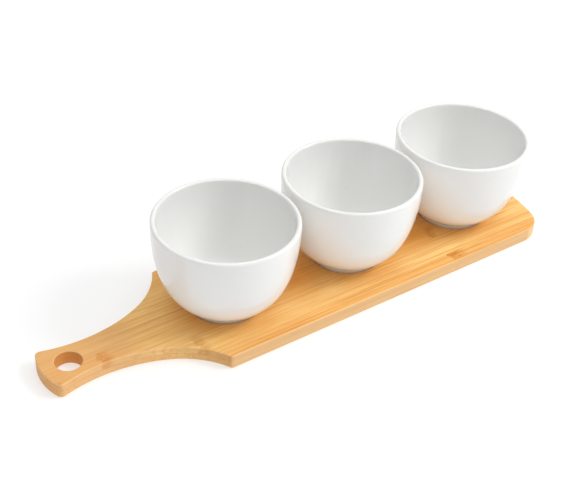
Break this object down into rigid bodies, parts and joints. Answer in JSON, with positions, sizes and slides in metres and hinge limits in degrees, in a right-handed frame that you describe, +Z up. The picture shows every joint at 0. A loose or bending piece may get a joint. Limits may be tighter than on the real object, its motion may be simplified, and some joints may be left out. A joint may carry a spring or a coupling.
{
  "type": "chip and dip server",
  "caption": "Long bamboo serving board with a waisted handle and hanging hole, carrying round white glazed dip bowls that lift out of shallow seats.",
  "frame": {"origin": "middle of the board's length and width, on the underside that the server stands on", "axes": "+X along the board, from the handle towards the far end; +Y across the board; +Z up"},
  "size_m": [0.385, 0.1, 0.0745],
  "materials": {
    "bamboo": "oiled satin bamboo",
    "white_glaze": "gloss white glaze"
  },
  "bodies": {
    "board": {"right_edge_top_strip": "bamboo", "right_outer_top_strip": "bamboo", "right_inner_top_strip": "bamboo", "left_inner_top_strip": "bamboo", "left_outer_top_strip": "bamboo", "left_edge_top_strip": "bamboo", "right_edge_bottom_strip": "bamboo", "right_bottom_strip": "bamboo", "middle_bottom_strip": "bamboo", "left_bottom_strip": "bamboo", "left_edge_bottom_strip": "bamboo"},
    "handle_side_bowl": {"handle_side_bowl": "white_glaze"},
    "middle_bowl": {"middle_bowl": "white_glaze"},
    "far_end_bowl": {"far_end_bowl": "white_glaze"}
  },
  "joints": [
    {"name": "handle_side_bowl_lift", "type": "slide", "parent": "board", "child": "handle_side_bowl", "axis": [0, 0, 1], "range_m": [0, 0.12]},
    {"name": "middle_bowl_lift", "type": "slide", "parent": "board", "child": "middle_bowl", "axis": [0, 0, 1], "range_m": [0, 0.12]},
    {"name": "far_end_bowl_lift", "type": "slide", "parent": "board", "child": "far_end_bowl", "axis": [0, 0, 1], "range_m": [0, 0.12]}
  ]
}
